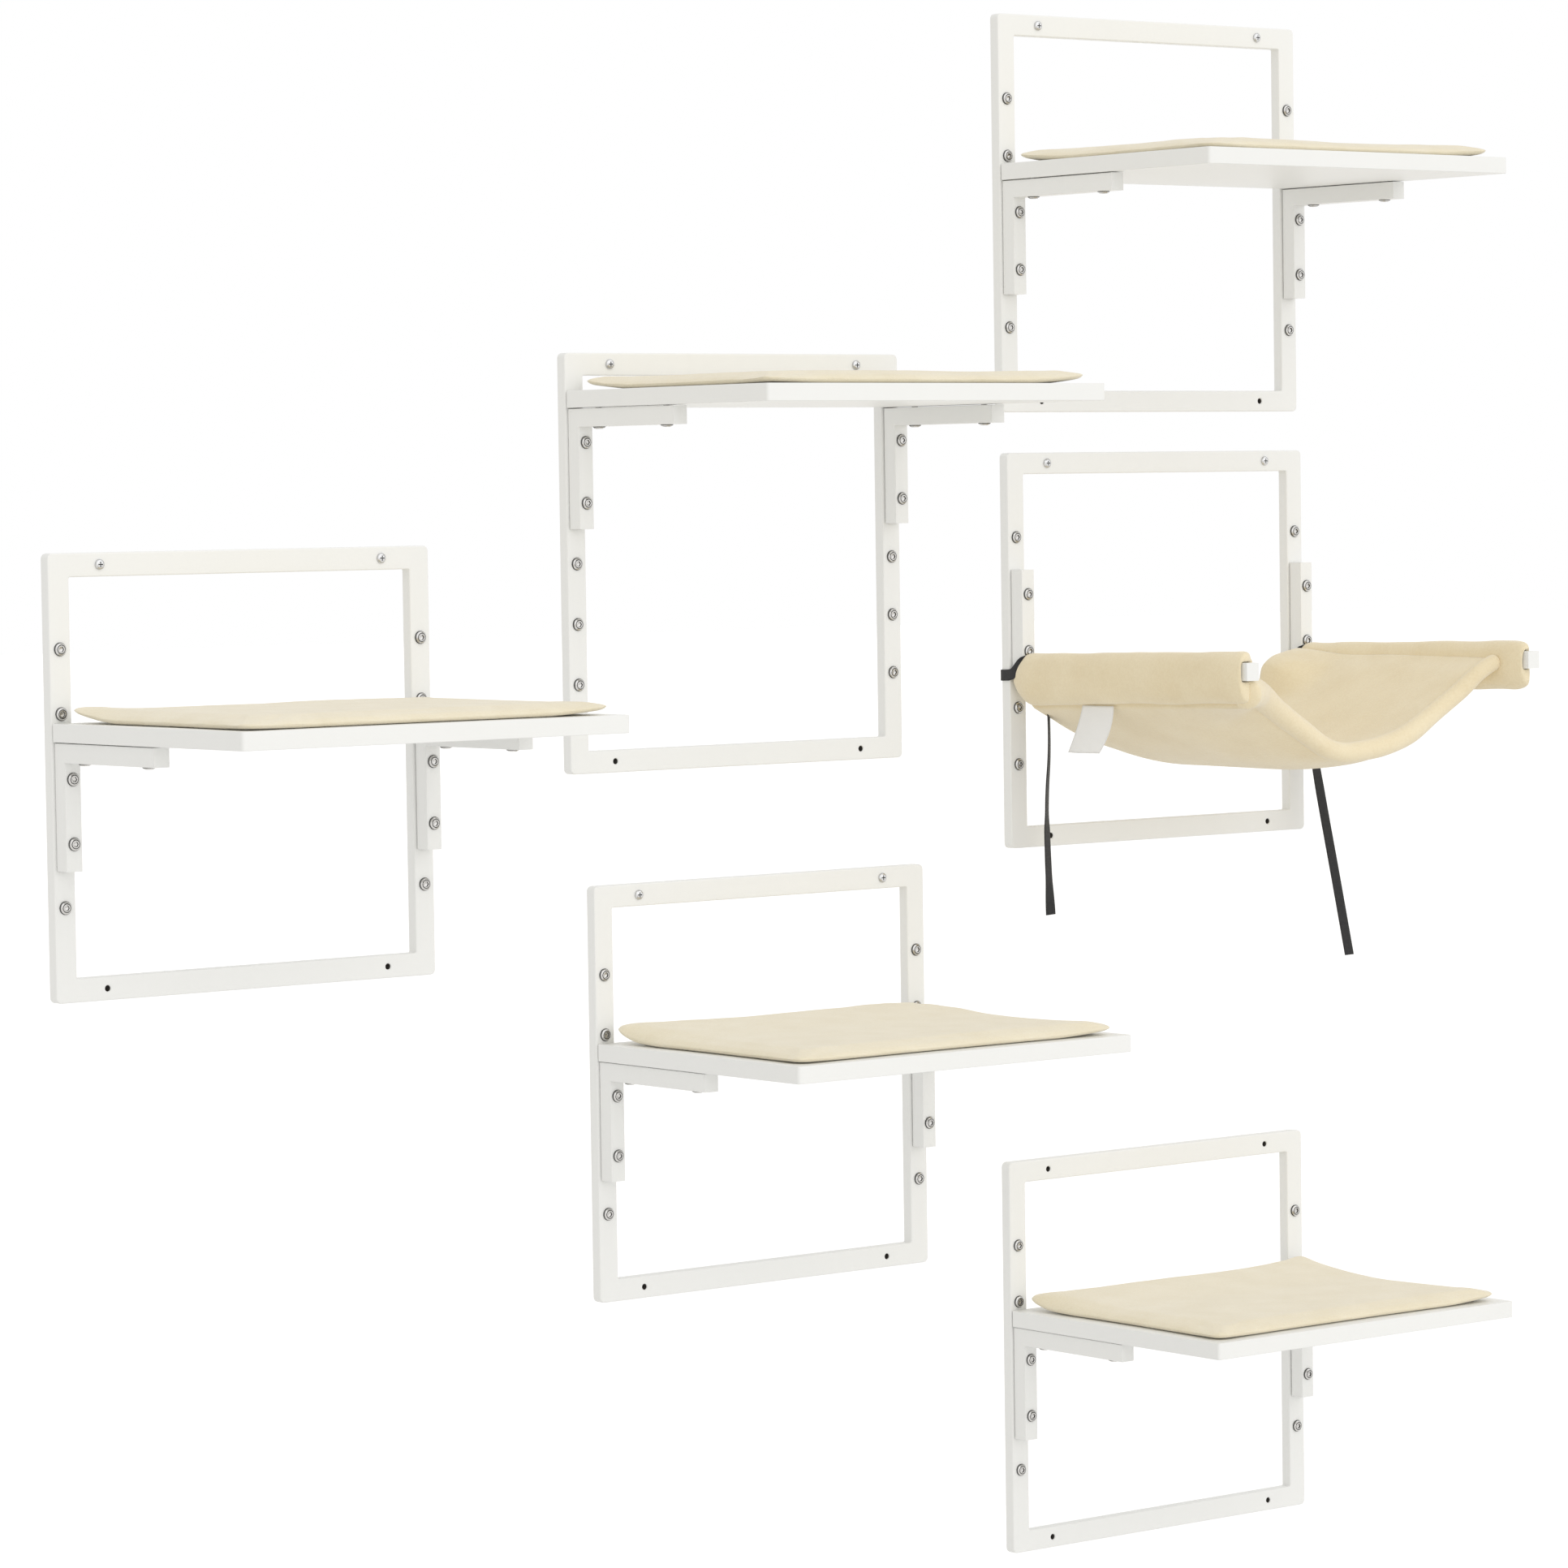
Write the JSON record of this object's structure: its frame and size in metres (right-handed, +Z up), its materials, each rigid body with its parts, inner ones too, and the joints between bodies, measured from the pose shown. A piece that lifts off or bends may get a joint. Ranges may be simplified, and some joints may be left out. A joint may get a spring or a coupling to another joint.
{
  "type": "cat climbing wall",
  "caption": "Wall-mounted climbing set for cats: white frames carry cushioned shelves on brackets, and one holds a plush sling hammock between two arms.",
  "frame": {"origin": "middle of the four wall holes of the lowest shelf's frame, in the wall's plane", "axes": "+Y into the wall, +X right along the wall as seen from the room, +Z up"},
  "size_m": [1.4983, 0.376, 1.521],
  "materials": {
    "white_paint": "satin white paint",
    "bolt_steel": "bright nickel",
    "screw_steel": "bright zinc",
    "cushion_plush": "short cream plush",
    "hammock_plush": "short beige plush",
    "label_cloth": "white satin",
    "webbing": "black ribbed webbing"
  },
  "bodies": {
    "wall_units": {"shelf_1_frame": "white_paint", "shelf_1_bracket_left": "white_paint", "shelf_1_bracket_right": "white_paint", "shelf_1_bracket_bolts": "bolt_steel", "shelf_1_spare_bolts": "bolt_steel", "shelf_1_wall_screws": "screw_steel", "shelf_2_frame": "white_paint", "shelf_2_bracket_left": "white_paint", "shelf_2_bracket_right": "white_paint", "shelf_2_bracket_bolts": "bolt_steel", "shelf_2_spare_bolts": "bolt_steel", "shelf_2_wall_screws": "screw_steel", "shelf_3_frame": "white_paint", "shelf_3_bracket_left": "white_paint", "shelf_3_bracket_right": "white_paint", "shelf_3_bracket_bolts": "bolt_steel", "shelf_3_spare_bolts": "bolt_steel", "shelf_3_wall_screws": "screw_steel", "shelf_4_frame": "white_paint", "shelf_4_bracket_left": "white_paint", "shelf_4_bracket_right": "white_paint", "shelf_4_bracket_bolts": "bolt_steel", "shelf_4_spare_bolts": "bolt_steel", "shelf_4_wall_screws": "screw_steel", "shelf_5_frame": "white_paint", "shelf_5_bracket_left": "white_paint", "shelf_5_bracket_right": "white_paint", "shelf_5_bracket_bolts": "bolt_steel", "shelf_5_spare_bolts": "bolt_steel", "hammock_frame": "white_paint", "hammock_bracket_left": "white_paint", "hammock_bracket_right": "white_paint", "hammock_bracket_bolts": "bolt_steel", "hammock_spare_bolts": "bolt_steel", "hammock_wall_screws": "screw_steel", "shelf_1_board": "white_paint", "shelf_1_board_bolts": "bolt_steel", "shelf_2_board": "white_paint", "shelf_2_board_bolts": "bolt_steel", "shelf_3_board": "white_paint", "shelf_3_board_bolts": "bolt_steel", "shelf_4_board": "white_paint", "shelf_4_board_bolts": "bolt_steel", "shelf_5_board": "white_paint", "shelf_5_board_bolts": "bolt_steel", "hammock_sleeve_left": "hammock_plush", "hammock_sleeve_right": "hammock_plush", "hammock_sling": "hammock_plush", "hammock_front_hem": "hammock_plush", "hammock_care_label": "label_cloth", "hammock_strap_loop_left": "webbing", "hammock_strap_loop_right": "webbing", "hammock_strap_tail_left": "webbing", "hammock_strap_tail_right": "webbing"},
    "shelf_1_cushion_body": {"shelf_1_cushion": "cushion_plush"},
    "shelf_2_cushion_body": {"shelf_2_cushion": "cushion_plush"},
    "shelf_3_cushion_body": {"shelf_3_cushion": "cushion_plush"},
    "shelf_4_cushion_body": {"shelf_4_cushion": "cushion_plush"},
    "shelf_5_cushion_body": {"shelf_5_cushion": "cushion_plush"}
  },
  "joints": [
    {"name": "shelf_1_cushion_lift", "type": "slide", "parent": "wall_units", "child": "shelf_1_cushion_body", "axis": [0, 0, 1], "range_m": [0, 0.1]},
    {"name": "shelf_2_cushion_lift", "type": "slide", "parent": "wall_units", "child": "shelf_2_cushion_body", "axis": [0, 0, 1], "range_m": [0, 0.1]},
    {"name": "shelf_3_cushion_lift", "type": "slide", "parent": "wall_units", "child": "shelf_3_cushion_body", "axis": [0, 0, 1], "range_m": [0, 0.1]},
    {"name": "shelf_4_cushion_lift", "type": "slide", "parent": "wall_units", "child": "shelf_4_cushion_body", "axis": [0, 0, 1], "range_m": [0, 0.1]},
    {"name": "shelf_5_cushion_lift", "type": "slide", "parent": "wall_units", "child": "shelf_5_cushion_body", "axis": [0, 0, 1], "range_m": [0, 0.1]}
  ]
}
